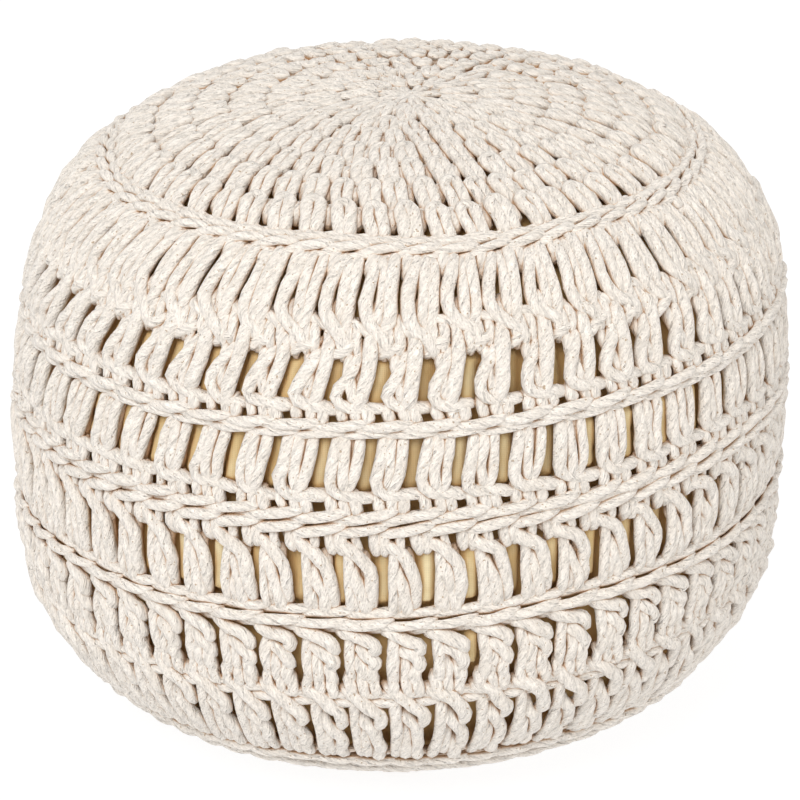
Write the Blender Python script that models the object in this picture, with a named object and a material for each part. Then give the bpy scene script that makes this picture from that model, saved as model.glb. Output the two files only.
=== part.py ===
"""A crocheted pouf: an openwork cover of thick cotton cord over a filled inner casing.

Metres, +Z up, the origin on the floor under the middle of the pouf. The cover is worked in the
round from the centre of the crown, in rows that run down the side and in under the base. Every
place on it is given by a stitch number, counted round from the front (-Y) towards +X, a distance
down the cover from the centre of the crown, and a lift out of its surface.
"""

import math

import bmesh
import bpy
import numpy as np

# Driving dimensions of the body, over the cord.
RADIUS = 0.250
HEIGHT = 0.400
WIDEST_Z = 0.126
BASE_FLAT_RADIUS = 0.130
CROWN_WIDTH_POWER = 3.3
CROWN_HEIGHT_POWER = 4.3
BELLY_WIDTH_POWER = 2.0
BELLY_HEIGHT_POWER = 1.75

# The soft body leans a little to +X, and its rows climb a little on that side.
LEAN = 0.03
LEAN_PIVOT_Z = 0.170
ROW_CLIMB = 0.03
CLIMB_STARTS = 0.060
CLIMB_FULL = 0.180
CLIMB_FADES = 0.520
CLIMB_ENDS = 0.630

# The cord cover.
WALL = 0.0125
STITCHES_ABOVE = 56
STITCHES_BELOW = 60
ROUND_PITCH = 0.0233
CROWN_ROUNDS = 8
FIRST_ROUND_COLUMNS = 14
INNER_ROUND_COLUMNS = 28
INNER_ROUNDS = 4
FIRST_CREST = 0.6
CREST_SPAN = (0.3, 0.7)
GROOVE_DEPTH = 0.0055
POST_BULGE = -0.0005
POST_EDGE = -0.0025
GAP_SLANT_FRONT = 0.12
GAP_SLANT_SIDE = 0.18
LEAST_GAP = 0.0042

# The filled casing inside it.
CASING_CLEARANCE = 0.0006

# Rows with gaps between their posts. Columns: row, distance down of the gaps' top and bottom,
# usual gap width, gap width's unevenness, the stitch that the first gap is centred on, and
# 1 where the posts slant, as in the upper half, or 0 where they stand straight.
GAP_ROWS = (
    ("shoulder", 0.2010, 0.2500, 0.0048, 0.0005, 0.82, 1),
    ("upper", 0.2625, 0.2950, 0.0072, 0.0022, 0.40, 1),
    ("middle", 0.3140, 0.3490, 0.0072, 0.0016, 0.22, 1),
    ("lower", 0.3840, 0.4190, 0.0074, 0.0020, 0.66, 0),
    ("belly", 0.4390, 0.4650, 0.0056, 0.0012, 0.74, 0),
)

# Gaps that the cord leaves far wider than the rest. Columns: row, gap number, width.
WIDE_GAPS = (
    ("upper", 1, 0.0105),
    ("lower", 0, 0.0108),
    ("lower", 1, 0.0090),
    ("belly", 1, 0.0080),
)

# Plain rings between those rows, with a raised line where a row's loops lie on top of it.
# Columns: the gap row above them, distance down, lift.
PLAIN_RINGS = (
    ("shoulder", 0.2560, -0.0010),
    ("upper", 0.2990, -0.0055),
    ("upper", 0.3055, 0.0000),
    ("middle", 0.3540, -0.0060),
    ("middle", 0.3615, 0.0000),
    ("middle", 0.3670, -0.0045),
    ("middle", 0.3730, 0.0000),
    ("lower", 0.4300, 0.0000),
    ("belly", 0.4685, -0.0040),
    ("belly", 0.4745, 0.0000),
    ("belly", 0.4820, -0.0050),
    ("belly", 0.5060, -0.0005),
    ("belly", 0.5330, -0.0055),
    ("belly", 0.5410, 0.0000),
    ("belly", 0.5510, -0.0050),
    ("belly", 0.5950, 0.0000),
)
FIRST_RIDGE_DOWN = 0.196
BASE_CENTRE_RING = 0.715

# Colours: linear red, green, blue.
CORD_COLOUR = (0.80, 0.73, 0.64, 1.0)
CASING_COLOUR = (0.62, 0.51, 0.29, 1.0)


def profile():
    """Distance down the cover, radius and height, from the crown's centre to the base's."""
    turn = np.linspace(0, math.pi / 2, 600)
    crown_r = RADIUS * np.sin(turn) ** (2 / CROWN_WIDTH_POWER)
    crown_z = WIDEST_Z + (HEIGHT - WIDEST_Z) * np.cos(turn) ** (2 / CROWN_HEIGHT_POWER)
    belly_r = BASE_FLAT_RADIUS + (RADIUS - BASE_FLAT_RADIUS) * np.cos(turn) ** (2 / BELLY_WIDTH_POWER)
    belly_z = WIDEST_Z * (1 - np.sin(turn) ** (2 / BELLY_HEIGHT_POWER))
    radius = np.concatenate([crown_r, belly_r[1:], [0.0]])
    height = np.concatenate([crown_z, belly_z[1:], [0.0]])
    steps = np.hypot(np.diff(radius), np.diff(height))
    return np.concatenate([[0.0], np.cumsum(steps)]), radius, height


DOWN, PROFILE_R, PROFILE_Z = profile()
BASE_EDGE_DOWN = float(DOWN[-1]) - BASE_FLAT_RADIUS
NORMAL_REACH = 0.004


def smooth_step(low, high, value):
    part = min(max((value - low) / (high - low), 0.0), 1.0)
    return part * part * (3 - 2 * part)


def place(turn, down, lift=0.0):
    """A point of the cover: turns round from the front, metres down, metres out of the surface."""
    angle = 2 * math.pi * turn
    radius = float(np.interp(down, DOWN, PROFILE_R))
    climb = smooth_step(CLIMB_STARTS, CLIMB_FULL, down) - smooth_step(CLIMB_FADES, CLIMB_ENDS, down)
    down -= ROW_CLIMB * climb * radius * math.sin(angle)
    radius = np.interp(down, DOWN, PROFILE_R)
    height = np.interp(down, DOWN, PROFILE_Z)
    above, below = down - NORMAL_REACH, down + NORMAL_REACH
    run = np.interp(below, DOWN, PROFILE_R) - np.interp(above, DOWN, PROFILE_R)
    drop = np.interp(above, DOWN, PROFILE_Z) - np.interp(below, DOWN, PROFILE_Z)
    if down >= BASE_EDGE_DOWN - NORMAL_REACH:
        run, drop = -1.0, 0.0
    length = math.hypot(run, drop)
    radius += lift * drop / length
    height += lift * run / length
    lean = LEAN * (height - LEAN_PIVOT_Z)
    return (radius * math.sin(angle) + lean, -radius * math.cos(angle), height)


def uneven(stitch, row, which):
    """A repeatable number from -1 to 1 for one stitch of one row."""
    wave = math.sin(12.9898 * stitch + 78.233 * row + 37.719 * which) * 43758.5453
    return 2 * (wave - math.floor(wave)) - 1


def stitches_in(row_name):
    below = row_name in ("lower", "belly")
    return STITCHES_BELOW if below else STITCHES_ABOVE


def gap_edges(row, end):
    """The turns of each gap's two edges round one row: end is -1 at the gaps' top, 1 at their bottom."""
    name, top, bottom, usual, spread, phase, slants = GAP_ROWS[row]
    count = stitches_in(name)
    radius = float(np.interp((top + bottom) / 2, DOWN, PROFILE_R))
    stitch_width = 2 * math.pi * radius / count
    wide = {gap: width for wide_row, gap, width in WIDE_GAPS if wide_row == name}
    edges = []
    for gap in range(count):
        centre = gap + phase + 0.04 * uneven(gap, row, 1)
        width = wide.get(gap, usual + spread * uneven(gap, row, 2))
        half = max(width, LEAST_GAP) / stitch_width / 2
        side = math.sin(2 * math.pi * centre / count)
        slant = slants * (GAP_SLANT_FRONT - GAP_SLANT_SIDE * side)
        middle = centre - end * slant / 2
        edges += [(middle - half) / count, (middle + half) / count]
    return edges


def even_turns(columns):
    return [column / columns for column in range(columns)]


def add_ring(mesh, turns, down, lift):
    """One ring of points round the cover, as (turn, point) pairs."""
    return [(turn, mesh.verts.new(place(turn, down, lift))) for turn in turns]


def add_face(mesh, points, outwards):
    mesh.faces.new(points if outwards else points[::-1])


def turns_walked(ring, start):
    """How far round each point of a ring lies from start, and the first point again at the end."""
    walked = [(ring[0][0] - start + 0.5) % 1.0 - 0.5]
    for before, after in zip(ring, ring[1:] + ring[:1]):
        walked.append(walked[-1] + (after[0] - before[0]) % 1.0)
    return walked


def join_rings(mesh, upper, lower, outwards):
    """Faces between two rings of any two counts, walking round both by their turns."""
    start = upper[0][0]
    nearest = min(range(len(lower)), key=lambda index: abs((lower[index][0] - start + 0.5) % 1.0 - 0.5))
    lower = lower[nearest:] + lower[:nearest]
    upper_walk = turns_walked(upper, start)
    lower_walk = turns_walked(lower, start)
    upper_points = [point for _, point in upper + upper[:1]]
    lower_points = [point for _, point in lower + lower[:1]]
    if len(upper) == len(lower):
        for here in range(len(upper)):
            there = here + 1
            face = [upper_points[here], lower_points[here], lower_points[there], upper_points[there]]
            add_face(mesh, face, outwards)
        return
    a = b = 0
    while a < len(upper) or b < len(lower):
        if b == len(lower) or (a < len(upper) and upper_walk[a + 1] < lower_walk[b + 1]):
            add_face(mesh, [upper_points[a], lower_points[b], upper_points[a + 1]], outwards)
            a += 1
        else:
            add_face(mesh, [upper_points[a], lower_points[b], lower_points[b + 1]], outwards)
            b += 1


def close_ring(mesh, ring, down, lift, outwards, at_top):
    """A fan from the middle of the crown or of the base to the ring next to it."""
    middle = mesh.verts.new(place(0.0, down, lift))
    for (_, here), (_, there) in zip(ring, ring[1:] + ring[:1]):
        add_face(mesh, [middle, here, there], outwards == at_top)


def join_posts(mesh, upper, lower, outwards):
    """The posts' faces between two rings of gap edges. A gap's right edge starts a post."""
    count = len(upper)
    for right in range(1, count, 2):
        left = (right + 1) % count
        points = [upper[right][1], lower[right][1], lower[left][1], upper[left][1]]
        add_face(mesh, points, outwards)


def join_all(mesh, rings, outwards):
    for upper, lower in zip(rings, rings[1:]):
        join_rings(mesh, upper, lower, outwards)


def crown_rings(mesh):
    """Rings of the crown's rounds: each has a broad crest and ends in a narrow groove."""
    rings = [add_ring(mesh, even_turns(FIRST_ROUND_COLUMNS), FIRST_CREST * ROUND_PITCH, 0.0)]
    rings.append(add_ring(mesh, even_turns(INNER_ROUND_COLUMNS), ROUND_PITCH, -GROOVE_DEPTH))
    for number in range(2, CROWN_ROUNDS + 1):
        turns = even_turns(INNER_ROUND_COLUMNS if number <= INNER_ROUNDS else STITCHES_ABOVE)
        for crest in CREST_SPAN:
            rings.append(add_ring(mesh, turns, (number - 1 + crest) * ROUND_PITCH, 0.0))
        rings.append(add_ring(mesh, turns, number * ROUND_PITCH, -GROOVE_DEPTH))
    rings.append(add_ring(mesh, even_turns(STITCHES_ABOVE), FIRST_RIDGE_DOWN, 0.0))
    return rings


def plain_rings(mesh, name, next_name):
    """The plain rings below one gap row. Those nearer the next row take its count of stitches."""
    rings = []
    rows = [(down, lift) for row, down, lift in PLAIN_RINGS if row == name]
    for index, (down, lift) in enumerate(rows):
        late = index >= len(rows) / 2
        columns = stitches_in(next_name if late else name)
        rings.append(add_ring(mesh, even_turns(columns), down, lift))
    return rings


def outer_skin(mesh):
    """The cord side of the cover. It returns each gap row's top, middle and bottom ring."""
    above = crown_rings(mesh)
    close_ring(mesh, above[0], 0.0, -GROOVE_DEPTH / 2, True, True)
    join_all(mesh, above, True)
    gap_rings = []
    for row, (name, top, bottom, *_) in enumerate(GAP_ROWS):
        upper = add_ring(mesh, gap_edges(row, -1), top, POST_EDGE)
        middle = add_ring(mesh, gap_edges(row, 0), (top + bottom) / 2, POST_BULGE)
        lower = add_ring(mesh, gap_edges(row, 1), bottom, POST_EDGE)
        join_rings(mesh, above[-1], upper, True)
        join_posts(mesh, upper, middle, True)
        join_posts(mesh, middle, lower, True)
        gap_rings.append((upper, middle, lower))
        following = GAP_ROWS[min(row + 1, len(GAP_ROWS) - 1)][0]
        above = [lower] + plain_rings(mesh, name, following)
        join_all(mesh, above, True)
    edge = add_ring(mesh, even_turns(STITCHES_BELOW), BASE_EDGE_DOWN, 0.0)
    centre = add_ring(mesh, even_turns(INNER_ROUND_COLUMNS), BASE_CENTRE_RING, 0.0)
    join_all(mesh, [above[-1], edge, centre], True)
    close_ring(mesh, centre, DOWN[-1], 0.0, True, False)
    return gap_rings


# Rings of a skin inside the cord, above the first gap row and below the last one.
# Columns: distance down, columns.
INNER_CROWN = ((0.060, 28), (0.110, 56), (0.145, 56), (0.175, 56))
INNER_BELLY = ((0.500, 60), (0.535, 60), (0.570, 60), (0.605, 60), (BASE_EDGE_DOWN, 60), (0.715, 28))


def inner_skin(mesh):
    """The casing side of the cover. It returns each gap row's top and bottom ring."""
    above = [add_ring(mesh, even_turns(columns), down, -WALL) for down, columns in INNER_CROWN]
    close_ring(mesh, above[0], 0.0, -WALL, False, True)
    join_all(mesh, above, False)
    last = above[-1]
    gap_rings = []
    for row, (_, top, bottom, *_) in enumerate(GAP_ROWS):
        upper = add_ring(mesh, gap_edges(row, -1), top, -WALL)
        lower = add_ring(mesh, gap_edges(row, 1), bottom, -WALL)
        join_rings(mesh, last, upper, False)
        join_posts(mesh, upper, lower, False)
        gap_rings.append((upper, lower))
        last = lower
    below = [add_ring(mesh, even_turns(columns), down, -WALL) for down, columns in INNER_BELLY]
    join_all(mesh, [last] + below, False)
    close_ring(mesh, below[-1], DOWN[-1], -WALL, False, False)
    return gap_rings


def gap_walls(mesh, outer, inner):
    """The four walls of each gap of one row, from the cord side through to the casing side."""
    top, middle, bottom = ([point for _, point in ring] for ring in outer)
    inner_top, inner_bottom = ([point for _, point in ring] for ring in inner)
    for left in range(0, len(top), 2):
        right = left + 1
        mesh.faces.new([top[right], top[left], inner_top[left], inner_top[right]])
        mesh.faces.new([bottom[left], bottom[right], inner_bottom[right], inner_bottom[left]])
        side = [top[left], middle[left], bottom[left], inner_bottom[left], inner_top[left]]
        mesh.faces.new(side)
        side = [bottom[right], middle[right], top[right], inner_top[right], inner_bottom[right]]
        mesh.faces.new(side)


def casing_skin(mesh):
    """The filled casing, on the same rings as the inside of the cover, so that it lies against it."""
    lift = -WALL - CASING_CLEARANCE
    rings = [add_ring(mesh, even_turns(columns), down, lift) for down, columns in INNER_CROWN]
    for name, top, bottom, *_ in GAP_ROWS:
        turns = even_turns(stitches_in(name))
        rings.append(add_ring(mesh, turns, top, lift))
        rings.append(add_ring(mesh, turns, bottom, lift))
    rings += [add_ring(mesh, even_turns(columns), down, lift) for down, columns in INNER_BELLY]
    close_ring(mesh, rings[0], 0.0, lift, True, True)
    join_all(mesh, rings, True)
    close_ring(mesh, rings[-1], DOWN[-1], lift, True, False)


def cover_skin(mesh):
    outer_rows = outer_skin(mesh)
    inner_rows = inner_skin(mesh)
    for outer, inner in zip(outer_rows, inner_rows):
        gap_walls(mesh, outer, inner)


def material(name, colour, roughness):
    """A plain cloth material, with no metal in it."""
    made = bpy.data.materials.new(name)
    made.use_nodes = True
    made.diffuse_color = colour
    shader = made.node_tree.nodes["Principled BSDF"]
    shader.inputs["Base Color"].default_value = colour
    shader.inputs["Roughness"].default_value = roughness
    shader.inputs["Metallic"].default_value = 0.0
    return made


def add_piece(collection, name, build, finish):
    """One named solid, made by the function build, in the pouf's collection."""
    mesh = bmesh.new()
    build(mesh)
    bmesh.ops.triangulate(mesh, faces=mesh.faces[:])
    data = bpy.data.meshes.new(name)
    mesh.to_mesh(data)
    mesh.free()
    data.materials.append(finish)
    data.shade_smooth()
    data.set_sharp_from_angle(angle=math.radians(50))
    piece = bpy.data.objects.new(name, data)
    collection.objects.link(piece)
    return piece


def main():
    for obj in list(bpy.data.objects):
        bpy.data.objects.remove(obj, do_unlink=True)
    pouf = bpy.data.collections.new("crocheted_pouf")
    bpy.context.scene.collection.children.link(pouf)
    cord = material("cotton_cord", CORD_COLOUR, 0.9)
    cloth = material("casing_cloth", CASING_COLOUR, 0.85)
    add_piece(pouf, "crochet_cover", cover_skin, cord)
    add_piece(pouf, "filled_casing", casing_skin, cloth)


main()
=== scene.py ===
# %% [markdown]
# # A crocheted pouf
# This lesson dresses a plain round solid as a pouf: a filled cloth casing in a cover that is
# crocheted in the round from thick cotton cord. The solid gives every size. Here each stitch is made
# as the cord really lies, so that the light finds its way between the strands.

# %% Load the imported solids
import math
from collections import namedtuple

import bpy
import numpy as np
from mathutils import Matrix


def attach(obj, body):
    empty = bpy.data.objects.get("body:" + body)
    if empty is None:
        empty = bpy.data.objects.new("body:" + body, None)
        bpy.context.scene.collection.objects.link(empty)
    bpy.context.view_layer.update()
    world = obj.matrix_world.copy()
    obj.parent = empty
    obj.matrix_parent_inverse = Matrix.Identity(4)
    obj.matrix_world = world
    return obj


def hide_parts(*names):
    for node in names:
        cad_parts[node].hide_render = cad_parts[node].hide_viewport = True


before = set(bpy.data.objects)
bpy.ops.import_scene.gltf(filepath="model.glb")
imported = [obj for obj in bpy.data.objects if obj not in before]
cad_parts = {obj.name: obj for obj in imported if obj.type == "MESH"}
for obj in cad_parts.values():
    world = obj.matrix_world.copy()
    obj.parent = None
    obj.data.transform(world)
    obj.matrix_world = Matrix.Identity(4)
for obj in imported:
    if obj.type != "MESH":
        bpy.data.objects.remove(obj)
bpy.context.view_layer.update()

bpy.ops.object.select_all(action="DESELECT")

# %% [markdown]
# ## The camera
# The pouf was seen from in front and a little above, with a long lens. A camera looks along its own
# -Z, so turning it 90 degrees about X makes it look level, and a little less than that looks down.

# %% Camera
CAMERA_PLACE = (0.0009, -1.9754, 1.0385)
LOOKING_DOWN = 23.26
LENS = 148.76
SENSOR_WIDTH = 36

bpy.ops.object.camera_add(location=CAMERA_PLACE, rotation=(math.radians(90 - LOOKING_DOWN), 0, 0))
camera = bpy.context.object
camera.name = "camera"
camera.data.lens = LENS
camera.data.sensor_width = SENSOR_WIDTH
bpy.context.scene.camera = camera
print("camera", CAMERA_PLACE, "lens", LENS)

# %% [markdown]
# ## The shape that the cover lies on
# The cover is a turned shape: a squarish crown over a rounder belly, both parts of a superellipse,
# and a flat base. A point on it is named by how far round it is and how far down from the middle of
# the crown, measured along the surface, as a maker counts stitches and rounds. Lift is how far the
# point stands out from the surface. The whole body leans a little, and the rows climb to the right.

# %% Sizes of the body
RADIUS = 0.250
HEIGHT = 0.400
WIDEST_Z = 0.126
BASE_FLAT_RADIUS = 0.130
CROWN_WIDTH_POWER = 3.3
CROWN_HEIGHT_POWER = 4.3
BELLY_WIDTH_POWER = 2.0
BELLY_HEIGHT_POWER = 1.75
OUTLINE_POINTS = 600


def profile():
    """Distance down, radius and height along the turned outline, from the crown to the base."""
    turn = np.linspace(0, math.pi / 2, OUTLINE_POINTS)
    crown_r = RADIUS * np.sin(turn) ** (2 / CROWN_WIDTH_POWER)
    crown_z = WIDEST_Z + (HEIGHT - WIDEST_Z) * np.cos(turn) ** (2 / CROWN_HEIGHT_POWER)
    belly_r = BASE_FLAT_RADIUS + (RADIUS - BASE_FLAT_RADIUS) * np.cos(turn) ** (2 / BELLY_WIDTH_POWER)
    belly_z = WIDEST_Z * (1 - np.sin(turn) ** (2 / BELLY_HEIGHT_POWER))
    radius = np.concatenate([crown_r, belly_r[1:], [0.0]])
    height = np.concatenate([crown_z, belly_z[1:], [0.0]])
    steps = np.hypot(np.diff(radius), np.diff(height))
    return np.concatenate([[0.0], np.cumsum(steps)]), radius, height


DOWN, PROFILE_R, PROFILE_Z = profile()
BASE_EDGE_DOWN = DOWN[-1] - BASE_FLAT_RADIUS
print("from crown to base centre", round(float(DOWN[-1]), 4), "m")

# %% Small unevenness of hand work
WAVES = ((5, 31, 0.7, 0.55), (9, -47, 2.1, 0.45))  # waves round, waves down, start, share
UNEVEN_RATES = (12.9898, 78.233, 37.719)
UNEVEN_SCALE = 43758.5453


def smooth_step(start, end, value):
    """0 before start, 1 after end, and a soft change between."""
    t = np.clip((value - start) / (end - start), 0, 1)
    return t * t * (3 - 2 * t)


def wander(angle, down):
    """A slow, uneven wave from -1 to 1 round and down the body, as hand work has."""
    return sum(share * np.sin(times * angle + rate * down + start) for times, rate, start, share in WAVES)


def uneven(stitch, row, which):
    """A fixed number from -1 to 1 for each stitch, so that no two are alike.
    Row and which only pick one of many such series."""
    wave = np.sin(UNEVEN_RATES[0] * stitch + UNEVEN_RATES[1] * row + UNEVEN_RATES[2] * which) * UNEVEN_SCALE
    return 2 * (wave - np.floor(wave)) - 1


print("unevenness of the first stitches", np.round(uneven(np.arange(4), 1, 1), 2))

# %% Place a point on the body
LEAN = 0.03
LEAN_PIVOT_Z = 0.170
ROW_CLIMB = 0.03
CLIMB_STARTS = 0.060
CLIMB_FULL = 0.180
CLIMB_FADES = 0.520
CLIMB_ENDS = 0.630
WANDER_GROWS = (0.0, 0.060)
WANDER_FADES = (0.540, 0.580)
ROW_WANDER = 0.0011
SKIN_WANDER = 0.0009
SKIN_WAVE_SHIFT = 0.3
LEAST_DOWN = 0.0005
SLOPE_REACH = 0.004      # the surface's slope is read this far above and below a point


def radius_at(down):
    """Radius of the body this far down."""
    return np.interp(down, DOWN, PROFILE_R)


def row_climb(down, angle):
    """How far the rows have risen here: up on the right, and down on the left."""
    climb = smooth_step(CLIMB_STARTS, CLIMB_FULL, down) - smooth_step(CLIMB_FADES, CLIMB_ENDS, down)
    return ROW_CLIMB * climb * radius_at(down) * np.sin(angle)


def place(turn, down, lift):
    """World points for arrays of turns round from the front, distances down and lifts."""
    angle = 2 * math.pi * turn
    free = smooth_step(*WANDER_GROWS, down) - smooth_step(*WANDER_FADES, down)
    lift = lift + SKIN_WANDER * free * wander(angle, down + SKIN_WAVE_SHIFT)
    down = np.maximum(down + ROW_WANDER * free * wander(angle, down), LEAST_DOWN)
    down = down - row_climb(down, angle)
    above = down - SLOPE_REACH
    below = down + SLOPE_REACH
    run = radius_at(below) - radius_at(above)
    drop = np.interp(above, DOWN, PROFILE_Z) - np.interp(below, DOWN, PROFILE_Z)
    on_base = down >= BASE_EDGE_DOWN - SLOPE_REACH
    run = np.where(on_base, -1.0, run)
    drop = np.where(on_base, 0.0, drop)
    length = np.hypot(run, drop)
    radius = radius_at(down) + lift * drop / length
    height = np.interp(down, DOWN, PROFILE_Z) + lift * run / length
    lean = LEAN * (height - LEAN_PIVOT_Z)
    return np.stack([radius * np.sin(angle) + lean, -radius * np.cos(angle), height], axis=-1)


print("front of the widest place", np.round(place(0.0, 0.458, 0.0), 4))

# %% [markdown]
# ## One length of cord
# Every stitch is short lengths of the same cord. A length is laid through a few guide points, which
# are given as (turn, down, lift), and a smooth curve is drawn through them. A ring of points is then
# carried along the curve. Doing this by hand for thousands of lengths would take weeks, so arrays
# make all the lengths of one kind at once. Each point also remembers where it is on the cord, for
# the fibres in the material, and how deep it lies in the cover, for the painted shade between the strands.

# %% Curve and tube helpers
TINY = 1e-9


def smooth_curve(guides, steps):
    """A smooth curve through each row of guide points, read at this many steps."""
    count = guides.shape[1]
    first = 2 * guides[:, :1] - guides[:, 1:2]
    last = 2 * guides[:, -1:] - guides[:, -2:-1]
    guides = np.concatenate([first, guides, last], axis=1)
    at = np.linspace(0, count - 1, steps)
    whole = np.minimum(at.astype(int), count - 2)
    t = (at - whole)[None, :, None]
    before, start, end, after = (guides[:, whole + k] for k in range(4))
    square = (2 * before - 5 * start + 4 * end - after) * t ** 2
    cube = (3 * start - before - 3 * end + after) * t ** 3
    return 0.5 * (2 * start + (end - before) * t + square + cube)


def unit(vectors):
    """The same directions, one metre long."""
    return vectors / np.maximum(np.linalg.norm(vectors, axis=-1, keepdims=True), TINY)


def tube_faces(lengths, steps, sides):
    """Corner numbers of the quads along each tube and of the triangles that close its ends."""
    per_tube = steps * sides + 2
    start = np.arange(lengths)[:, None, None] * per_tube
    ring = np.arange(steps - 1)[None, :, None] * sides
    side = np.arange(sides)[None, None, :]
    after = (side + 1) % sides
    here = start + ring
    quads = np.stack([here + side, here + sides + side, here + sides + after, here + after], axis=-1)
    first = start + steps * sides
    last_ring = start + (steps - 1) * sides
    fronts = np.stack([first + 0 * side, start + side, start + after], axis=-1)
    backs = np.stack([first + 1 + 0 * side, last_ring + after, last_ring + side], axis=-1)
    return quads.reshape(-1, 4), np.concatenate([fronts.reshape(-1, 3), backs.reshape(-1, 3)])


# %% Lay many lengths of cord at once
CORD_TWIST = 170.0       # radians of twist for each metre of cord
CORD_FLATNESS = 0.88
END_TAPER = (0.55, 0.9)
TIP_REACH = 0.5
CORD_LUMPS = 0.06
CORD_PLUMPNESS = 0.07
CORD_ROUGHNESS = 0.055
START_SPREAD = 10
LIFT_STEP = 0.001
FLOOR_CLEARANCE = 0.0002


def cord_width(thick, lengths, steps, seed):
    """Half width at each step: lumpy, some lengths plumper than others, and tapered at the ends."""
    number = np.arange(lengths)[:, None]
    lumps = 1 + CORD_LUMPS * uneven(number, np.arange(steps)[None, :] // 2, seed + 50)
    lumps = lumps * (1 + CORD_PLUMPNESS * uneven(number, seed, 71))
    taper = np.ones(steps)
    taper[[0, -1]] = END_TAPER[0]
    taper[[1, -2]] = END_TAPER[1]
    return np.broadcast_to(thick, (lengths, steps)) * lumps * taper


def lay_cords(guides, thick, steps, sides, seed):
    """Tubes along guides, each of which is a turn, a distance down and a lift for every length.
    thick is the half width: one for all, or one for each length."""
    course = smooth_curve(np.transpose(guides, (2, 0, 1)), steps)
    turn, down, lift = course[..., 0], course[..., 1], course[..., 2]
    centre = place(turn, down, lift)
    outward = unit(place(turn, down, lift + LIFT_STEP) - centre)
    along = unit(np.gradient(centre, axis=1))
    across = unit(np.cross(along, outward))
    up = np.cross(across, along)
    lengths = len(course)
    number = np.arange(lengths)[:, None]
    width = cord_width(thick, lengths, steps, seed)
    angle = 2 * math.pi * np.arange(sides) / sides
    spots = seed + 5 * np.arange(sides)
    bumpy = 1 + CORD_ROUGHNESS * uneven(number[..., None], np.arange(steps)[:, None], spots)
    sideways = width[..., None] * np.cos(angle) * bumpy
    outwards = CORD_FLATNESS * width[..., None] * np.sin(angle) * bumpy
    rings = centre[:, :, None] + across[:, :, None] * sideways[..., None]
    rings = rings + up[:, :, None] * outwards[..., None]
    tips = np.stack([centre[:, 0] - along[:, 0] * width[:, :1] * TIP_REACH,
                     centre[:, -1] + along[:, -1] * width[:, -1:] * TIP_REACH], axis=1)
    run = np.cumsum(np.linalg.norm(np.diff(centre, axis=1, prepend=centre[:, :1]), axis=-1), axis=1)
    run_on_cord = run + START_SPREAD * uneven(number, seed, 3)
    twisted = angle[None, None, :] + CORD_TWIST * run[..., None]
    fibre = np.stack([width[..., None] * np.cos(twisted), width[..., None] * np.sin(twisted),
                      np.broadcast_to(run_on_cord[..., None], twisted.shape)], axis=-1)
    tip_fibre = np.stack([fibre[:, 0].mean(1), fibre[:, -1].mean(1)], axis=1)
    deep = -(lift[..., None] + outwards)
    tip_deep = np.stack([-lift[:, 0], -lift[:, -1]], axis=1)
    points = np.concatenate([rings.reshape(lengths, -1, 3), tips], axis=1).reshape(-1, 3)
    fibre = np.concatenate([fibre.reshape(lengths, -1, 3), tip_fibre], axis=1).reshape(-1, 3)
    deep = np.concatenate([deep.reshape(lengths, -1), tip_deep], axis=1).reshape(-1)
    points[:, 2] = np.maximum(points[:, 2], FLOOR_CLEARANCE)
    quads, triangles = tube_faces(lengths, steps, sides)
    return points, fibre, deep, quads, triangles


# %% [markdown]
# ## Joining the lengths into one piece
# Thousands of separate objects would choke any scene, so all the cord of one row becomes one mesh.
# The arrays go straight into the mesh, and the two attributes go with them.

# %% Make one piece from many cords
def joined_mesh(name, cords):
    """One mesh of all these cords."""
    corners, starts = [], []
    offset = 0
    corner_count = 0
    for cord_points, fibre, deep, quads, triangles in cords:
        for faces in (quads, triangles):
            corners.append((faces + offset).reshape(-1))
            starts.append(corner_count + np.arange(len(faces)) * faces.shape[1])
            corner_count += faces.size
        offset += len(cord_points)
    points = np.concatenate([cord[0] for cord in cords])
    corners = np.concatenate(corners)
    starts = np.concatenate(starts)
    mesh = bpy.data.meshes.new(name)
    mesh.vertices.add(len(points))
    mesh.vertices.foreach_set("co", points.astype(np.float32).ravel())
    mesh.loops.add(len(corners))
    mesh.loops.foreach_set("vertex_index", corners.astype(np.int32))
    mesh.polygons.add(len(starts))
    mesh.polygons.foreach_set("loop_start", starts.astype(np.int32))
    mesh.update(calc_edges=True)
    mesh.validate()
    mesh.shade_smooth()
    return mesh


def add_values(mesh, name, kind, field, values):
    """An attribute with one value for each point of a mesh."""
    attribute = mesh.attributes.new(name, kind, "POINT")
    attribute.data.foreach_set(field, values.astype(np.float32).ravel())


def make_piece(name, cords, material):
    """A piece of cord. It rides on the body, and stands for the crocheted solid."""
    mesh = joined_mesh(name, cords)
    add_values(mesh, "on_cord", "FLOAT_VECTOR", "vector", np.concatenate([cord[1] for cord in cords]))
    add_values(mesh, "depth", "FLOAT", "value", np.concatenate([cord[2] for cord in cords]))
    mesh.materials.append(material)
    piece = bpy.data.objects.new(name, mesh)
    bpy.context.scene.collection.objects.link(piece)
    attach(piece, "root")
    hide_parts("crochet_cover")
    print(name, sum(len(cord[3]) * 2 + len(cord[4]) for cord in cords), "triangles")
    return piece


# %% [markdown]
# ## Finishes
# Both cloths show the same soft unevenness of tone, so that effect is a node group. Undyed cotton is
# an off-white with darker seed flecks, fibres that run along the cord, and a matt face; the grooves
# between its plies are painted darker, as painted shade. Light that comes back from between the
# strands has passed through cotton many times and is brown, so a brown painted shade is mixed into
# the colour where the cord lies deep, and where other strands stand close. Painting that brown by
# hand would take days, and both causes can be measured. The casing is plain woven cloth, with the
# same brown painted shade where it lies under the cord.

# %% A node group for uneven tone
TONE_DETAIL = 4.0
TONE_ROUGHNESS = 0.65
TONE_FROM = 0.35
TONE_TO = 0.65


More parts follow.
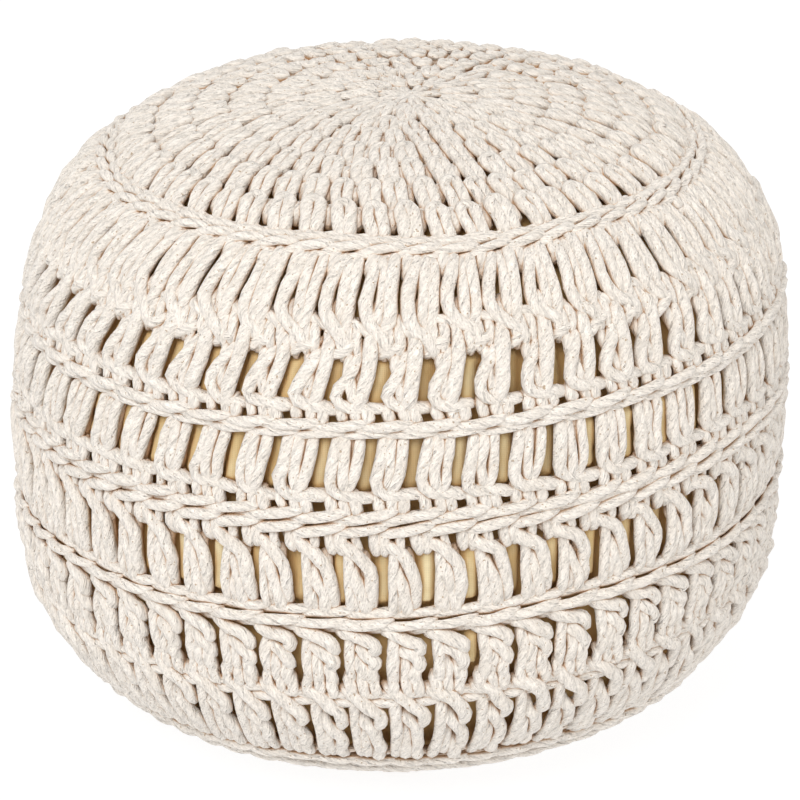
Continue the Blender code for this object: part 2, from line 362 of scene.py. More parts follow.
def uneven_tone():
    """A group that mixes two colours in soft patches."""
    group = bpy.data.node_groups.new("uneven tone", "ShaderNodeTree")
    for name, direction, kind in (("Where", "INPUT", "Vector"), ("Scale", "INPUT", "Float"),
                                  ("Light", "INPUT", "Color"), ("Dark", "INPUT", "Color"),
                                  ("Colour", "OUTPUT", "Color")):
        group.interface.new_socket(name=name, in_out=direction, socket_type="NodeSocket" + kind)
    nodes, links = group.nodes, group.links
    given = nodes.new("NodeGroupInput")
    result = nodes.new("NodeGroupOutput")
    noise = nodes.new("ShaderNodeTexNoise")
    noise.inputs["Detail"].default_value = TONE_DETAIL
    noise.inputs["Roughness"].default_value = TONE_ROUGHNESS
    spread = nodes.new("ShaderNodeMapRange")
    spread.inputs["From Min"].default_value = TONE_FROM
    spread.inputs["From Max"].default_value = TONE_TO
    mix = nodes.new("ShaderNodeMix")
    mix.data_type = "RGBA"
    links.new(given.outputs["Where"], noise.inputs["Vector"])
    links.new(given.outputs["Scale"], noise.inputs["Scale"])
    links.new(noise.outputs["Fac"], spread.inputs["Value"])
    links.new(spread.outputs["Result"], mix.inputs[0])
    links.new(given.outputs["Dark"], mix.inputs[6])
    links.new(given.outputs["Light"], mix.inputs[7])
    links.new(mix.outputs[2], result.inputs["Colour"])
    print("group", group.name, "with", len(nodes), "nodes")
    return group


TONE = uneven_tone()


# %% Helpers that start a material
def new_material(name, roughness):
    """A new material and its Principled BSDF."""
    material = bpy.data.materials.new(name)
    material.use_nodes = True
    shader = material.node_tree.nodes["Principled BSDF"]
    shader.inputs["Roughness"].default_value = roughness
    shader.inputs["Metallic"].default_value = 0.0
    return material, shader


def add_attribute(tree, name):
    """One of the piece's own attributes."""
    node = tree.nodes.new("ShaderNodeAttribute")
    node.attribute_name = name
    return node


def add_tone(tree, where, scale, light, dark):
    """The tone group in a material, fed with this place, scale and colours."""
    node = tree.nodes.new("ShaderNodeGroup")
    node.node_tree = TONE
    node.inputs["Scale"].default_value = scale
    node.inputs["Light"].default_value = light
    node.inputs["Dark"].default_value = dark
    tree.links.new(where, node.inputs["Where"])
    return node.outputs["Colour"]


def add_noise(tree, where, scale, detail, stretch):
    """Noise on a place that is first stretched along each axis."""
    mapping = tree.nodes.new("ShaderNodeMapping")
    mapping.inputs["Scale"].default_value = stretch
    noise = tree.nodes.new("ShaderNodeTexNoise")
    noise.inputs["Scale"].default_value = scale
    noise.inputs["Detail"].default_value = detail
    tree.links.new(where, mapping.inputs["Vector"])
    tree.links.new(mapping.outputs["Vector"], noise.inputs["Vector"])
    return noise.outputs["Fac"]


def add_bump(tree, height, distance, strength=1.0, under=None):
    """Relief of this height, over the relief under it."""
    bump = tree.nodes.new("ShaderNodeBump")
    bump.inputs["Strength"].default_value = strength
    bump.inputs["Distance"].default_value = distance
    tree.links.new(height, bump.inputs["Height"])
    if under is not None:
        tree.links.new(under, bump.inputs["Normal"])
    return bump.outputs["Normal"]


# %% Helpers that work on values and colours
OPENNESS_SAMPLES = 8


def add_range(tree, value, low, high, out_low=0.0, out_high=1.0):
    """The value from low to high, as 0 to 1 or as these outputs."""
    node = tree.nodes.new("ShaderNodeMapRange")
    node.inputs["From Min"].default_value = low
    node.inputs["From Max"].default_value = high
    node.inputs["To Min"].default_value = out_low
    node.inputs["To Max"].default_value = out_high
    tree.links.new(value, node.inputs["Value"])
    return node.outputs["Result"]


def add_math(tree, operation, first, second=None):
    """One sum on values, each a socket or a number."""
    node = tree.nodes.new("ShaderNodeMath")
    node.operation = operation
    for socket, value in zip(node.inputs, (first, second)):
        if isinstance(value, float):
            socket.default_value = value
        elif value is not None:
            tree.links.new(value, socket)
    return node.outputs["Value"]


def add_scaled(tree, colour, amount):
    """A colour made lighter or darker by a value."""
    node = tree.nodes.new("ShaderNodeVectorMath")
    node.operation = "SCALE"
    tree.links.new(colour, node.inputs[0])
    tree.links.new(amount, node.inputs["Scale"])
    return node.outputs[0]


def add_mix(tree, share, first, second):
    """Mixes two colours, each a socket or a plain colour."""
    node = tree.nodes.new("ShaderNodeMix")
    node.data_type = "RGBA"
    tree.links.new(share, node.inputs[0])
    for socket, colour in ((node.inputs[6], first), (node.inputs[7], second)):
        if isinstance(colour, tuple):
            socket.default_value = colour
        else:
            tree.links.new(colour, socket)
    return node.outputs[2]


def add_openness(tree, reach, low, high):
    """How open the surface lies, from low to high as 0 to 1. Other strands within reach close it."""
    node = tree.nodes.new("ShaderNodeAmbientOcclusion")
    node.samples = OPENNESS_SAMPLES
    node.inputs["Distance"].default_value = reach
    return add_range(tree, node.outputs["AO"], low, high)


# %% Cotton cord
COTTON_LIGHT = (0.93, 0.87, 0.80, 1)
COTTON_DARK = (0.87, 0.80, 0.72, 1)
COTTON_PATCHES = 90.0
COTTON_ROUGHNESS = 0.93
COTTON_GLOSS = 0.2
COTTON_SHEEN = 0.25
COTTON_SHEEN_ROUGHNESS = 0.6
FIBRES = (1000.0, 3.0, (1, 1, 0.10))     # noise scale, detail, stretch on the cord
TUFTS = (800.0, 2.0, (1, 1, 0.45))
SEEDS = (520.0, 1.0, (1, 1, 1))
FIBRE_SHADE = (0.35, 0.65, 0.92, 1.05)   # from, to, darkest, lightest
TUFT_SHADE = (0.35, 0.65, 0.84, 1.08)
# Painted shade: the grooves between the plies are darkened in the colour.
PLY_GROOVE_PAINTED_SHADE = (0.0, 0.40, 0.84, 1.0)
SEED_RANGE = (0.69, 0.76)
SEED_COLOUR = (0.50, 0.38, 0.27, 1)
# Painted shade: the cord's colour turns to this brown where it lies deep and where other strands stand
# close.
CREVICE_SHADE_COLOUR = (0.60, 0.33, 0.13, 1)
CREVICE_SHADE_DEPTH = (0.0048, 0.0095, 0.0, 0.9)
CREVICE_SHADE_REACH = 0.0060
CREVICE_SHADE_OPENNESS = (0.63, 0.12)          # no brown at the first, all brown at the second
PLIES = 3
PLY_GROOVE = 0.0007
FIBRE_RELIEF = 0.0009
TUFT_RELIEF = 0.0011


def ply_grooves(tree, on_cord):
    """Height of the plies that the cord is laid from, round its own middle."""
    split = tree.nodes.new("ShaderNodeSeparateXYZ")
    tree.links.new(on_cord, split.inputs["Vector"])
    round_cord = add_math(tree, "ARCTAN2", split.outputs["Y"], split.outputs["X"])
    wave = add_math(tree, "COSINE", add_math(tree, "MULTIPLY", round_cord, PLIES / 2))
    return add_math(tree, "ABSOLUTE", wave)


def cotton_cord():
    """Undyed cotton: mottled, flecked, streaked along the cord, with painted shade in the ply grooves and a
    brown painted shade between the strands.
    """
    material, shader = new_material("cotton cord", COTTON_ROUGHNESS)
    tree = material.node_tree
    body_place = tree.nodes.new("ShaderNodeTexCoord").outputs["Object"]
    cord_place = add_attribute(tree, "on_cord").outputs["Vector"]
    fibres = add_noise(tree, cord_place, *FIBRES)
    tufts = add_noise(tree, cord_place, *TUFTS)
    plies = ply_grooves(tree, cord_place)
    colour = add_tone(tree, body_place, COTTON_PATCHES, COTTON_LIGHT, COTTON_DARK)
    # Fibres and tufts vary the tone at random; the ply grooves get painted shade.
    for value, shade in ((fibres, FIBRE_SHADE), (tufts, TUFT_SHADE), (plies, PLY_GROOVE_PAINTED_SHADE)):
        colour = add_scaled(tree, colour, add_range(tree, value, *shade))
    seeds = add_range(tree, add_noise(tree, body_place, *SEEDS), *SEED_RANGE)
    colour = add_mix(tree, seeds, colour, SEED_COLOUR)
    # Painted shade: brown mixed in by depth in the cover and by how closely other strands stand round.
    deep = add_range(tree, add_attribute(tree, "depth").outputs["Fac"], *CREVICE_SHADE_DEPTH)
    crevice_shade = add_math(tree, "MAXIMUM", deep, add_openness(tree, CREVICE_SHADE_REACH, *CREVICE_SHADE_OPENNESS))
    colour = add_mix(tree, crevice_shade, colour, CREVICE_SHADE_COLOUR)
    tree.links.new(colour, shader.inputs["Base Color"])
    surface = None
    for height, distance in ((plies, PLY_GROOVE), (fibres, FIBRE_RELIEF), (tufts, TUFT_RELIEF)):
        surface = add_bump(tree, height, distance, under=surface)
    tree.links.new(surface, shader.inputs["Normal"])
    shader.inputs["Sheen Weight"].default_value = COTTON_SHEEN
    shader.inputs["Sheen Roughness"].default_value = COTTON_SHEEN_ROUGHNESS
    shader.inputs["Specular IOR Level"].default_value = COTTON_GLOSS
    print("material", material.name, len(tree.nodes), "nodes")
    return material


CORD = cotton_cord()

# %% Casing cloth
CASING_LIGHT = (0.86, 0.75, 0.48, 1)
CASING_DARK = (0.66, 0.50, 0.25, 1)
# Painted shade: the cloth's colour under the cord and close to the strands.
CASING_SHADED = (0.76, 0.49, 0.20, 1)
CASING_PATCHES = 22.0
CASING_ROUGHNESS = 0.9
CASING_SHADE_REACH = 0.008
CASING_SHADE_OPENNESS = (0.15, 0.70)
IN_GAP_RANGE = (0.20, 0.9)
THREAD_PITCH = 0.0011
BAND_WIDTH = 0.314       # a wave texture's band, in metres, at scale 1
THREAD_WAVINESS = 0.6
THREAD_SHADE = (0.0, 1.0, 0.86, 1.04)
THREAD_RELIEF = 0.0003
THREAD_STRENGTH = 0.5


def thread_bands(tree, where, direction):
    """Threads side by side along one axis."""
    wave = tree.nodes.new("ShaderNodeTexWave")
    wave.bands_direction = direction
    wave.inputs["Scale"].default_value = BAND_WIDTH / THREAD_PITCH
    wave.inputs["Distortion"].default_value = THREAD_WAVINESS
    tree.links.new(where, wave.inputs["Vector"])
    return wave.outputs["Fac"]


def casing_cloth():
    """Plain woven straw-coloured cloth, with a brown painted shade where it lies under the cord and close
    to the strands.
    """
    material, shader = new_material("casing cloth", CASING_ROUGHNESS)
    tree = material.node_tree
    body_place = tree.nodes.new("ShaderNodeTexCoord").outputs["Object"]
    tone = add_tone(tree, body_place, CASING_PATCHES, CASING_LIGHT, CASING_DARK)
    weave = add_math(tree, "MAXIMUM", *(thread_bands(tree, body_place, axis) for axis in ("X", "Z")))
    cloth = add_scaled(tree, tone, add_range(tree, weave, *THREAD_SHADE))
    # Painted shade: the cloth keeps its own colour only in the open middle of a gap.
    in_gap = add_range(tree, add_attribute(tree, "in_gap").outputs["Fac"], *IN_GAP_RANGE)
    lit = add_math(tree, "MULTIPLY", in_gap, add_openness(tree, CASING_SHADE_REACH, *CASING_SHADE_OPENNESS))
    tree.links.new(add_mix(tree, lit, CASING_SHADED, cloth), shader.inputs["Base Color"])
    tree.links.new(add_bump(tree, weave, THREAD_RELIEF, THREAD_STRENGTH), shader.inputs["Normal"])
    print("material", material.name, len(tree.nodes), "nodes")
    return material


CASING = casing_cloth()

# %% [markdown]
# ## The crown
# The crown is worked from the middle outwards: eight stitches in the first round and eight more in
# each round after it, up to 56. Each stitch shows as an arch of cord that leans to the right, whose
# legs leave a thin slit between them, and a short strand fills the space to the next arch. A chain
# of loops lies in the groove between one round and the next. Near the middle the stitches are small
# and pressed flat. A stitch is drawn once, as shares of its own width and height, and repeated.

# %% Stitch counts and the crown's sizes
STITCHES_ABOVE = 56
STITCHES_BELOW = 60
ROUND_PITCH = 0.0233
CROWN_ROUNDS = 8
STITCHES_ADDED = 8
SHIFT_EACH_ROUND = 0.37

ROUND_STITCH = (  # most half width, then guides: across the stitch, down the round, lift
    (0.0043, ((-0.01, 1.10, -0.0104), (-0.05, 0.90, -0.0066), (-0.18, 0.52, -0.0044),
              (-0.31, 0.20, -0.0036), (-0.26, 0.01, -0.0034), (-0.10, -0.05, -0.0034),
              (0.06, 0.02, -0.0036), (0.13, 0.20, -0.0038), (0.19, 0.52, -0.0046), (0.27, 0.90, -0.0070),
              (0.30, 1.10, -0.0104))),
    (0.0042, ((0.40, -0.06, -0.0104), (0.41, 0.10, -0.0070), (0.45, 0.30, -0.0072), (0.50, 0.50, -0.0092),
              (0.52, 0.62, -0.0110))),
)
ROUND_FILL = 0.225
ROUND_MIDDLE = 0.6
ROUND_SWAY = (0.07, 0.04)            # of a whole length, and of one of its guides
ROUND_LEVEL_SWAY = (0.04, 0.03)
ROUND_LIFT_SWAY = (0.0007, 0.0005)
ROUND_PLUMPNESS = 0.08
INNER_ROUNDS = 3
INNER_SINK = 0.45
INNER_LEVEL = -0.0040


def round_stitches(count, first, pitch, phase, row, steps=(16, 6), sides=8):
    """The arched, leaning stitches of one plain round, which starts at first and is pitch deep."""
    stitch = np.arange(count)
    width = 2 * math.pi * radius_at(first + pitch * ROUND_MIDDLE) / count
    cords = []
    for kind, (most, course) in enumerate(ROUND_STITCH):
        guides = []
        for across, depth, lift in course:
            seed = kind * 20 + len(guides)
            across = across + ROUND_SWAY[0] * uneven(stitch, row, kind)
            across = across + ROUND_SWAY[1] * uneven(stitch, row + 20, seed)
            depth = depth + ROUND_LEVEL_SWAY[0] * uneven(stitch, row, 4)
            depth = depth + ROUND_LEVEL_SWAY[1] * uneven(stitch, row + 40, seed)
            if row <= INNER_ROUNDS:
                lift = INNER_LEVEL + INNER_SINK * (lift - INNER_LEVEL)
            lift = lift + ROUND_LIFT_SWAY[0] * uneven(stitch, row, 5)
            lift = lift + ROUND_LIFT_SWAY[1] * uneven(stitch, row + 60, seed)
            guides.append(((stitch + phase + across) / count, first + pitch * depth, lift))
        plump = 1 + ROUND_PLUMPNESS * uneven(stitch, row, kind + 8)[:, None]
        thick = min(ROUND_FILL * width, most) * plump
        cords.append(lay_cords(guides, thick, steps[kind], sides, row * 9 + kind))
    return cords


# %% A line of chain loops
CHAIN_REACH = 0.72
CHAIN_SWAY = 0.04
CHAIN_LEVEL_SWAY = 0.0005
CHAIN_LIFT_SWAY = 0.0004


def chain_line(count, down, phase, row, thick, rise, crest, dip, steps=8, sides=8):
    """One slanted length for each stitch, end over end, as a crocheted chain shows from outside."""
    stitch = np.arange(count)
    guides = []
    for share, lift in ((-1.0, dip), (-0.5, (crest + dip) / 2), (0.0, crest), (0.5, crest), (1.0, dip)):
        across = share * CHAIN_REACH + CHAIN_SWAY * uneven(stitch, row, 11)
        level = down - share * rise + CHAIN_LEVEL_SWAY * uneven(stitch, row, 12 + len(guides))
        height = lift + CHAIN_LIFT_SWAY * uneven(stitch, row, 17 + len(guides))
        guides.append(((stitch + phase + across) / count, level, height))
    return lay_cords(guides, thick, steps, sides, row * 9 + 5)


# %% Crown rounds
GROOVE_CHAIN = (0.0012, -0.0073, -0.0088)  # rise, crest, dip
GROOVE_THICK = 0.0036
FIRST_GROOVE_THICK = 0.0026


def crown_cords():
    """All rounds of the crown, with the chain in each groove."""
    cords = []
    for number in range(1, CROWN_ROUNDS + 1):
        count = min(STITCHES_ADDED * number, STITCHES_ABOVE)
        first = (number - 1) * ROUND_PITCH
        phase = SHIFT_EACH_ROUND * number
        cords += round_stitches(count, first, ROUND_PITCH, phase, number)
        thick = FIRST_GROOVE_THICK if number == 1 else GROOVE_THICK
        cords.append(chain_line(count, first + ROUND_PITCH, phase, number + 30, thick, *GROOVE_CHAIN,
                                steps=6, sides=6))
    return cords


make_piece("crown_rounds", crown_cords(), CORD)

# %% [markdown]
# ## The rows of tall stitches
# Below the crown the stitches are tall and stand apart as posts. Each post is a bundle of four to
# six lengths: legs that run down, a strand that crosses them or wraps the top, and strands that
# reach over to the next post. Every row is worked its own way, so each kind has its own table of
# lengths, and the two lowest rows share one. The gaps are placed first and the posts fill what is
# between them, because the gaps are what the eye reads.

# %% Rows and their gaps
Row = namedtuple("Row", "name top bottom gap spread phase slants number stitches")
GAP_ROWS = (
    Row("shoulder", 0.2010, 0.2500, 0.0060, 0.0010, 0.82, 1, 0, STITCHES_ABOVE),
    Row("upper", 0.2625, 0.2950, 0.0072, 0.0022, 0.40, 1, 1, STITCHES_ABOVE),
    Row("middle", 0.3140, 0.3490, 0.0072, 0.0016, 0.22, 1, 2, STITCHES_ABOVE),
    Row("lower", 0.3840, 0.4190, 0.0074, 0.0020, 0.66, 0, 3, STITCHES_BELOW),
    Row("belly", 0.4390, 0.4650, 0.0056, 0.0012, 0.74, 0, 4, STITCHES_BELOW),
    Row("hem", 0.4850, 0.5450, 0.0045, 0.0010, 0.90, 0, 5, STITCHES_BELOW),
)
WIDE_GAPS = {"upper": {1: 0.0105}, "lower": {0: 0.0108, 1: 0.0090}, "belly": {1: 0.0080}}
LEAST_GAP = 0.0042
GAP_SLANT_FRONT = 0.12
GAP_SLANT_SIDE = 0.18
GAP_WANDER = 0.055
POST_REACH = 0.37        # across, as the tables of lengths give it, at a post's edge
ROW_OVERRUN = 1.25


def stitch_width(row):
    """Metres from one post to the next."""
    return 2 * math.pi * radius_at((row.top + row.bottom) / 2) / row.stitches


def gap_middle(row, gap):
    """Where the middle of a gap is, counted in stitches."""
    return gap + row.phase + GAP_WANDER * uneven(gap % row.stitches, row.number, 1)


def gap_slant(row, turn):
    """How far a gap leans between its top and bottom, in stitches. It leans less on the right."""
    return row.slants * (GAP_SLANT_FRONT - GAP_SLANT_SIDE * np.sin(2 * math.pi * turn))


def post_turns(row, across, depth):
    """Turns round of a point on each post; across and depth are shares of its width and height."""
    gap = np.arange(row.stitches + 1)
    known = gap % row.stitches
    middle = gap_middle(row, gap)
    width = row.gap + row.spread * uneven(known, row.number, 2)
    for wide_gap, wide_width in WIDE_GAPS.get(row.name, {}).items():
        width = np.where(known == wide_gap, wide_width, width)
    half = np.maximum(width, LEAST_GAP) / stitch_width(row) / 2
    slant = gap_slant(row, middle / row.stitches)
    end = np.clip(2 * depth - 1, -ROW_OVERRUN, ROW_OVERRUN)
    left = middle[:-1] - end * slant[:-1] / 2 + half[:-1]
    right = middle[1:] - end * slant[1:] / 2 - half[1:]
    return ((left + right) / 2 + across / POST_REACH * (right - left) / 2) / row.stitches


print("stitch widths, mm", {row.name: round(1000 * float(stitch_width(row)), 1) for row in GAP_ROWS})

# %% The lengths of cord in one tall stitch of each kind
# Each length is a half width and its guides: across the stitch, down the row, lift.
SHOULDER_STITCH = (
    (0.0040, ((0.28, -0.12, -0.0088), (0.29, 0.10, -0.0050), (0.31, 0.46, -0.0042), (0.31, 0.78, -0.0044),
              (0.24, 0.96, -0.0062), (0.12, 1.10, -0.0092))),
    (0.0043, ((-0.12, -0.10, -0.0088), (-0.17, 0.12, -0.0050), (-0.26, 0.42, -0.0040),
              (-0.30, 0.66, -0.0040), (-0.22, 0.82, -0.0040), (-0.02, 0.94, -0.0040),
              (0.20, 1.04, -0.0044), (0.38, 1.16, -0.0058), (0.46, 1.30, -0.0098))),
    (0.0038, ((0.06, -0.10, -0.0090), (0.06, 0.15, -0.0054), (0.08, 0.48, -0.0046), (0.10, 0.78, -0.0048),
              (0.16, 1.02, -0.0088))),
    (0.0037, ((-0.33, -0.12, -0.0090), (-0.35, 0.06, -0.0056), (-0.37, 0.16, -0.0066),
              (-0.37, 0.28, -0.0098))),
    (0.0036, ((-0.04, 0.56, -0.0094), (-0.07, 0.74, -0.0066), (-0.02, 0.92, -0.0060),
              (0.06, 1.08, -0.0090))),
    (0.0034, ((0.32, 0.72, -0.0100), (0.44, 0.82, -0.0070), (0.60, 0.88, -0.0060), (0.76, 0.94, -0.0064),
              (0.90, 1.02, -0.0098))),
)
UPPER_STITCH = (
    (0.0047, ((0.22, -0.44, -0.0092), (0.24, -0.22, -0.0050), (0.25, 0.20, -0.0040),
              (0.23, 0.68, -0.0040), (0.19, 0.94, -0.0056), (0.12, 1.12, -0.0092))),
    (0.0042, ((0.08, -0.16, -0.0088), (0.00, 0.10, -0.0052), (-0.15, 0.38, -0.0042),
              (-0.28, 0.62, -0.0040), (-0.24, 0.84, -0.0042), (0.02, 0.95, -0.0046),
              (0.36, 1.00, -0.0056), (0.64, 1.01, -0.0068), (0.88, 1.00, -0.0096))),
    (0.0040, ((-0.20, -0.08, -0.0092), (-0.17, 0.16, -0.0066), (-0.08, 0.46, -0.0060),
              (0.02, 0.74, -0.0054), (0.06, 1.06, -0.0088))),
    (0.0038, ((0.10, -0.10, -0.0096), (0.11, 0.50, -0.0088), (0.14, 1.08, -0.0096))),
    (0.0036, ((-0.66, 0.04, -0.0098), (-0.54, -0.04, -0.0062), (-0.36, -0.12, -0.0052),
              (-0.18, -0.20, -0.0054), (0.02, -0.30, -0.0096))),
)
MIDDLE_STITCH = (
    (0.0036, ((0.25, -0.16, -0.0088), (0.26, 0.12, -0.0046), (0.25, 0.52, -0.0040), (0.20, 0.80, -0.0042),
              (0.10, 0.98, -0.0060), (-0.02, 1.12, -0.0092))),
    (0.0043, ((-0.23, -0.14, -0.0088), (-0.23, 0.12, -0.0050), (-0.24, 0.46, -0.0042),
              (-0.26, 0.74, -0.0040), (-0.14, 0.91, -0.0042), (0.16, 0.98, -0.0046),
              (0.44, 1.01, -0.0056), (0.70, 1.02, -0.0068), (0.92, 1.01, -0.0096))),
    (0.0039, ((-0.05, -0.12, -0.0088), (-0.03, 0.16, -0.0052), (-0.02, 0.50, -0.0046),
              (0.04, 0.78, -0.0046), (0.14, 1.02, -0.0088))),
    (0.0038, ((0.12, -0.12, -0.0096), (0.13, 0.46, -0.0086), (0.10, 1.06, -0.0096))),
)
LOWER_STITCH = (
    (0.0034, ((-0.29, -0.12, -0.0092), (-0.29, 0.10, -0.0056), (-0.27, 0.52, -0.0044),
              (-0.24, 0.92, -0.0044), (-0.23, 1.26, -0.0102))),
    (0.0044, ((-0.84, -0.24, -0.0098), (-0.56, -0.17, -0.0056), (-0.24, -0.06, -0.0036),
              (0.02, 0.10, -0.0034), (0.19, 0.32, -0.0038), (0.26, 0.58, -0.0044), (0.29, 0.86, -0.0056),
              (0.32, 1.18, -0.0102))),
    (0.0042, ((-0.24, 0.12, -0.0092), (-0.15, 0.33, -0.0052), (-0.02, 0.56, -0.0042),
              (0.08, 0.80, -0.0042), (0.14, 1.02, -0.0052), (0.18, 1.26, -0.0102))),
    (0.0036, ((-0.12, 0.40, -0.0096), (-0.12, 0.66, -0.0062), (-0.08, 0.88, -0.0052),
              (-0.04, 1.26, -0.0102))),
    (0.0036, ((0.08, 0.00, -0.0096), (0.10, 0.30, -0.0082), (0.14, 0.66, -0.0088),
              (0.16, 1.12, -0.0098))),
)
HEM_STITCH = (
    (0.0038, ((-0.28, 0.00, -0.0092), (-0.28, 0.16, -0.0054), (-0.27, 0.55, -0.0044),
              (-0.25, 0.95, -0.0047), (-0.24, 1.20, -0.0100))),
    (0.0045, ((-0.62, -0.14, -0.0098), (-0.42, -0.10, -0.0058), (-0.16, -0.02, -0.0038),
              (0.08, 0.08, -0.0034), (0.25, 0.20, -0.0038), (0.26, 0.36, -0.0048),
              (0.10, 0.50, -0.0094))),
    (0.0044, ((-0.20, 0.20, -0.0094), (-0.09, 0.32, -0.0050), (0.10, 0.46, -0.0040),
              (0.24, 0.62, -0.0040), (0.26, 0.80, -0.0050), (0.12, 0.95, -0.0094))),
    (0.0040, ((-0.14, 0.40, -0.0096), (-0.07, 0.63, -0.0056), (-0.03, 0.93, -0.0048),
              (-0.02, 1.20, -0.0100))),
    (0.0042, ((0.04, 0.68, -0.0098), (0.16, 0.84, -0.0060), (0.23, 1.00, -0.0048),
              (0.24, 1.20, -0.0100))),
)
STITCHES = {"shoulder": SHOULDER_STITCH, "upper": UPPER_STITCH, "middle": MIDDLE_STITCH,
            "lower": LOWER_STITCH, "belly": HEM_STITCH, "hem": HEM_STITCH}
print("lengths in a stitch", {name: len(lengths) for name, lengths in STITCHES.items()})

# %% Work the rows
EXTRA_LENGTH = {"belly": 0.0110}     # how much further down the feet of a row's stitches reach
EXTRA_FROM = (0.95, 1.2)
SWAY_ACROSS = 0.045
SWAY_DOWN = 0.038
LIFT_SWAY = (0.0008, 0.0007)         # of one guide, and of a whole length


def post_cords(row, steps=12, sides=8):
    """Every length of one row of tall stitches."""
    stitch = np.arange(row.stitches)
    extra = EXTRA_LENGTH.get(row.name, 0.0)
    cords = []
    for kind, (thick, course) in enumerate(STITCHES[row.name]):
        guides = []
        for across, depth, lift in course:
            seed = kind * 10 + len(guides)
            across = across + SWAY_ACROSS * uneven(stitch, row.number + 40, seed)
            depth = depth + SWAY_DOWN * uneven(stitch, row.number + 50, seed)
            lift = lift + LIFT_SWAY[0] * uneven(stitch, row.number + 60, seed)
            lift = lift + LIFT_SWAY[1] * uneven(stitch, row.number + 70, kind)
            level = row.top + depth * (row.bottom - row.top) + extra * smooth_step(*EXTRA_FROM, depth)
            guides.append((post_turns(row, across, depth), level, lift))
        cords.append(lay_cords(guides, thick, steps, sides, row.number * 17 + kind))
    return cords


for row in GAP_ROWS:
    make_piece(row.name + "_posts", post_cords(row), CORD)

# %% [markdown]
# ## The ridges
# Between the rows of tall stitches run lines of chain. Some stand out as one clean ridge, and at
# the waist two of them lie side by side like a rope. Quieter lines lie deeper and close the cover.
# All are the same chain as in the crown's grooves, with their own sizes. Short upright feet join
# the ridges to the rows, and the small holes between the feet come by themselves.

# %% Lines of chain
WAIST_DOWN = 0.3670
CHAIN_LINES = (  # down, half width, rise, crest, dip, phase
    (0.1898, 0.0034, 0.0012, -0.0056, -0.0078, 0.10),
    (0.1962, 0.0032, 0.0026, -0.0034, -0.0070, 0.30),
    (0.2005, 0.0028, 0.0016, -0.0060, -0.0085, 0.70),
    (0.3058, 0.0034, 0.0026, -0.0024, -0.0062, 0.55),
    (0.3108, 0.0029, 0.0018, -0.0042, -0.0075, 0.15),
    (0.3616, 0.0036, 0.0042, -0.0030, -0.0072, 0.30),
    (0.3640, 0.0034, 0.0036, -0.0052, -0.0085, 0.80),
    (0.3700, 0.0036, 0.0042, -0.0028, -0.0070, 0.10),
    (0.4240, 0.0034, 0.0020, -0.0058, -0.0085, 0.40),
    (0.4302, 0.0033, 0.0022, -0.0022, -0.0060, 0.15),
    (0.4350, 0.0028, 0.0016, -0.0066, -0.0090, 0.70),
    (0.4825, 0.0034, 0.0014, -0.0062, -0.0086, 0.20),
    (0.4890, 0.0036, 0.0016, -0.0066, -0.0088, 0.55),
    (0.5480, 0.0030, 0.0018, -0.0080, -0.0095, 0.60),
    (0.5545, 0.0033, 0.0011, -0.0026, -0.0044, 0.35),
    (0.5612, 0.0030, 0.0010, -0.0088, -0.0100, 0.85),
    (0.5680, 0.0033, 0.0010, -0.0028, -0.0044, 0.15),
)
RIM_STARTS = 0.5750
RIM_PITCH = 0.0076
RIM_LINES = 6
RIM_CHAIN = (0.0033, 0.0016, -0.0050, -0.0076)  # half width, rise, crest, dip


def ridge_cords():
    """Every line of chain between the crown and the base."""
    cords = []
    for number, (down, *sizes, phase) in enumerate(CHAIN_LINES):
        count = STITCHES_ABOVE if down < WAIST_DOWN else STITCHES_BELOW
        cords.append(chain_line(count, down, phase, number + 70, *sizes))
    for number in range(RIM_LINES):
        down = RIM_STARTS + number * RIM_PITCH
        phase = SHIFT_EACH_ROUND * number
        cords.append(chain_line(STITCHES_BELOW, down, phase, number + 95, *RIM_CHAIN, steps=6, sides=7))
    return cords


make_piece("ridge_chains", ridge_cords(), CORD)

# %% Feet between the rows and the ridges
FEET = (  # row whose gaps they follow, 1 at their bottoms or -1 at their tops, top, bottom, places
    ("shoulder", 1, 0.2440, 0.2610, ((-0.12, 0.0036), (0.11, 0.0036), (0.42, 0.0036), (0.70, 0.0036))),
    ("upper", 1, 0.2940, 0.3040, ((0.34, 0.0038), (0.64, 0.0040), (0.90, 0.0042))),
    ("middle", 1, 0.3490, 0.3600, ((0.34, 0.0038), (0.64, 0.0040), (0.88, 0.0040))),
    ("lower", -1, 0.3720, 0.3835, ((0.38, 0.0032), (0.76, 0.0042), (0.98, 0.0042))),
    ("belly", 1, 0.4690, 0.4830, ((0.22, 0.0038), (0.50, 0.0038), (0.78, 0.0038))),
)
FOOT_COURSE = ((-0.25, -0.0090), (0.10, -0.0060), (0.5, -0.0052), (0.90, -0.0060), (1.25, -0.0090))
FOOT_SWAY = 0.04
FOOT_LEAN = 0.08
FOOT_UNEVENNESS = 0.0006


def feet_cords(number, name, end, top, bottom, places):
    """Short upright lengths between a row of tall stitches and a ridge, which leave small holes."""
    row = next(row for row in GAP_ROWS if row.name == name)
    gap = np.arange(row.stitches)
    cords = []
    for spot, (place_across, thick) in enumerate(places):
        guides = []
        for depth, lift in FOOT_COURSE:
            seed = spot * 7 + len(guides)
            middle = gap_middle(row, gap) + FOOT_SWAY * uneven(gap, number + 140, seed)
            slant = gap_slant(row, middle / row.stitches)
            across = place_across - end * slant / 2 + FOOT_LEAN * (depth - 0.5)
            level = top + depth * (bottom - top) + FOOT_UNEVENNESS * uneven(gap, number + 160, seed)
            height = lift + FOOT_UNEVENNESS * uneven(gap, number + 150, seed)
            guides.append(((middle + across) / row.stitches, level, height))
        cords.append(lay_cords(guides, thick, steps=6, sides=7, seed=number * 11 + spot))
    return cords


